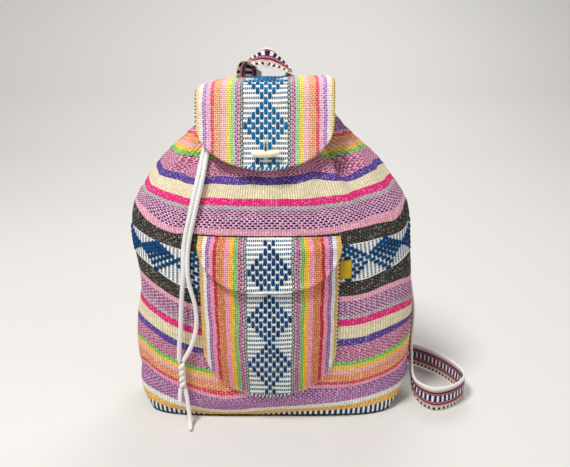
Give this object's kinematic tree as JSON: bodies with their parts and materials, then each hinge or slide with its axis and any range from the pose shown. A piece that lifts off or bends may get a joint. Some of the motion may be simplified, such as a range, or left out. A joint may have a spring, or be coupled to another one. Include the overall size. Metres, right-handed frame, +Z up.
{
  "type": "drawstring backpack",
  "caption": "Striped hand-woven cotton backpack with a gathered drawstring mouth, toggle-closed flap, patch pocket, woven shoulder straps and a hanging loop.",
  "frame": {"origin": "centre of the underside of the base, on the ground", "axes": "+Z up, -Y towards the front with the pocket, +X towards the right as seen from the front"},
  "size_m": [0.395, 0.2775, 0.4049],
  "materials": {
    "body_cloth": "coarse hand-woven cotton in stripes",
    "base_cloth": "coarse hand-woven cotton",
    "flap_cloth": "coarse hand-woven cotton in stripes",
    "woven_band": "narrow patterned cotton webbing",
    "label_ribbon": "plain woven ribbon",
    "cotton_cord": "white braided cotton",
    "bone": "smooth polished bone"
  },
  "bodies": {
    "bag": {"base_panel": "base_cloth", "front_panel": "body_cloth", "back_panel": "body_cloth", "flap": "flap_cloth", "pocket": "flap_cloth", "pocket_flap": "flap_cloth", "label": "label_ribbon", "shoulder_strap_right": "woven_band", "shoulder_strap_left": "woven_band", "hanging_loop": "woven_band", "drawstring_neck_run": "cotton_cord", "drawstring_left_end": "cotton_cord", "drawstring_right_end": "cotton_cord", "drawstring_knot": "cotton_cord", "drawstring_long_tail": "cotton_cord", "drawstring_short_tail": "cotton_cord", "toggle_tether": "cotton_cord"},
    "toggle_piece": {"toggle": "bone", "toggle_whipping": "cotton_cord"}
  },
  "joints": [
    {"name": "toggle_turn", "type": "hinge", "parent": "bag", "child": "toggle_piece", "pos_m": [-0.003, -0.06974, 0.30673], "axis": [0, -0.9491, 0.3148], "range_deg": [-90, 90]}
  ]
}
